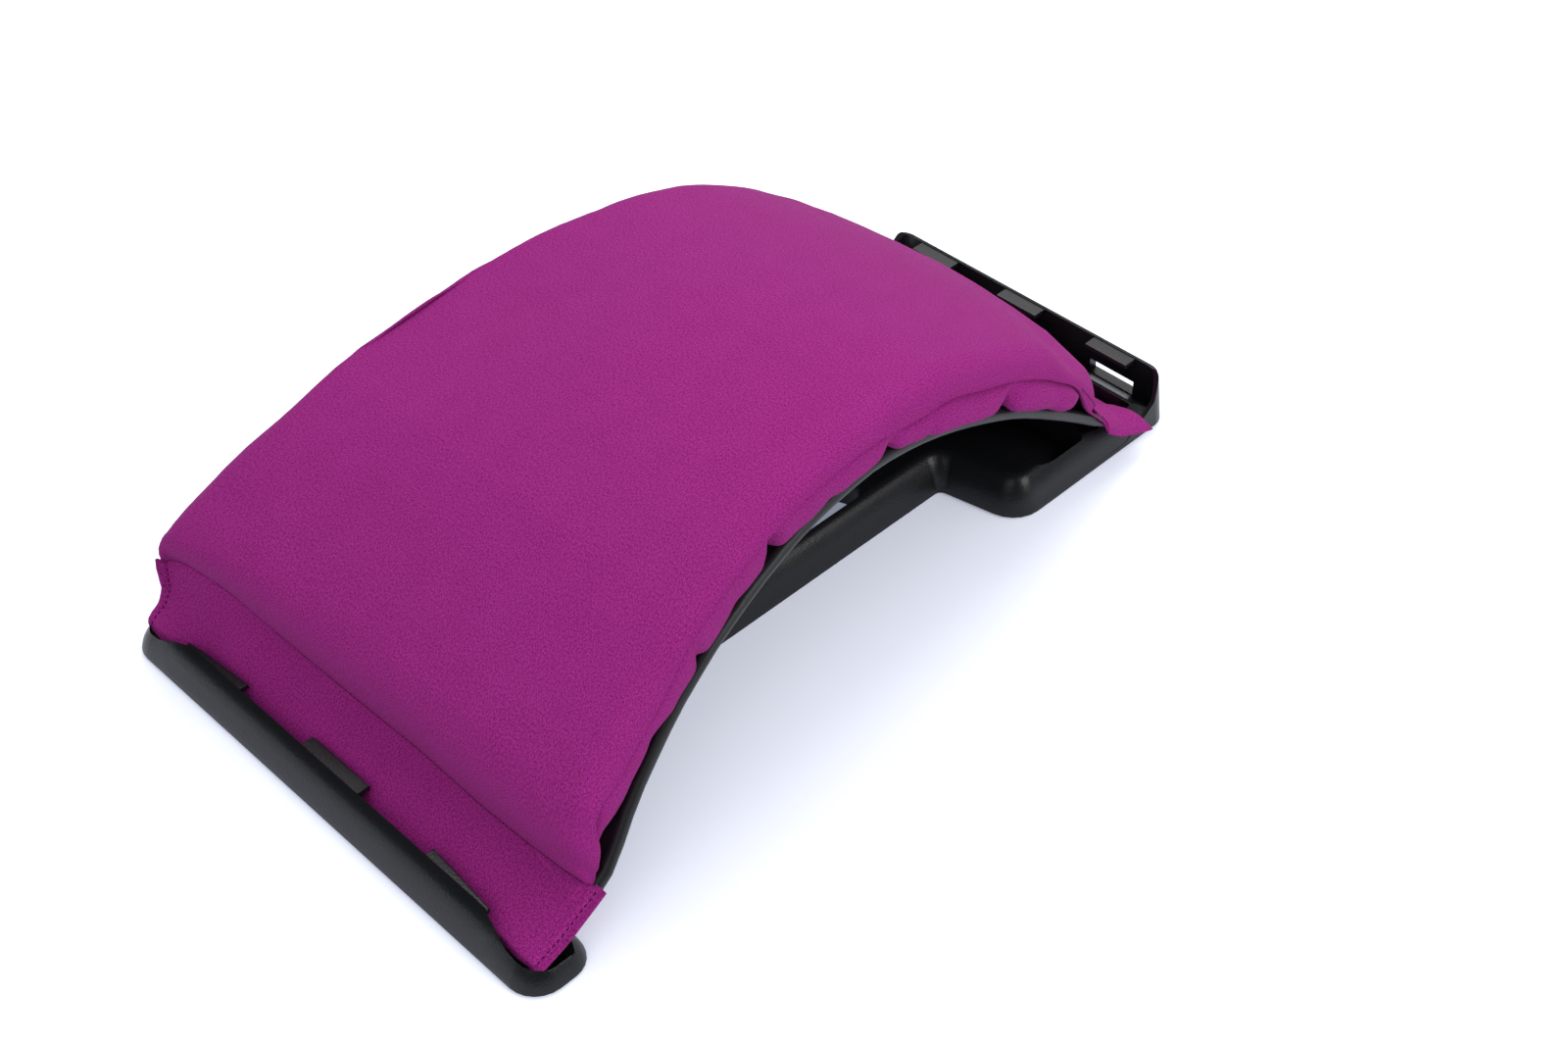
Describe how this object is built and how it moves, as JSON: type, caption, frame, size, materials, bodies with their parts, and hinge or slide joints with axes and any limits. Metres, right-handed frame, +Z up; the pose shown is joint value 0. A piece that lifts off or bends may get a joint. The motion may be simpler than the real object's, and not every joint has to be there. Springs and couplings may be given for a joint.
{
  "type": "back stretcher",
  "caption": "Arched back stretcher: a padded, fabric-covered flexible arch plate hooked into a flat moulded base with a ratcheted platform that sets the height of the curve.",
  "frame": {"origin": "centre of the overall box at floor level", "axes": "+X from the wide front rail to the rear lip, +Y to the left, +Z up"},
  "size_m": [0.408, 0.2484, 0.128],
  "materials": {
    "base_plastic": "fine moulded texture, black",
    "plate_plastic": "satin, black",
    "cover_fabric": "fine knit, magenta",
    "pad_foam": "open-cell foam, stands in for foam",
    "hem_elastic": "flat woven elastic, white",
    "foot_rubber": "matt, black"
  },
  "bodies": {
    "base": {"base_frame": "base_plastic", "foot_front_left": "foot_rubber", "foot_front_right": "foot_rubber", "foot_rear_left": "foot_rubber", "foot_rear_right": "foot_rubber"},
    "arch": {"arch_plate": "plate_plastic", "foam_pad": "pad_foam", "cover_top_panel": "cover_fabric", "cover_left_side": "cover_fabric", "cover_right_side": "cover_fabric", "front_pocket_panel": "cover_fabric", "front_pocket_back": "cover_fabric", "rear_pocket_panel": "cover_fabric", "rear_pocket_back": "cover_fabric", "left_hem_elastic": "hem_elastic", "right_hem_elastic": "hem_elastic"}
  },
  "joints": [
    {"name": "arch_swing", "type": "hinge", "parent": "base", "child": "arch", "pos_m": [-0.1893, 0, 0.0152], "axis": [0, -1, 0], "range_deg": [0, 40]}
  ]
}
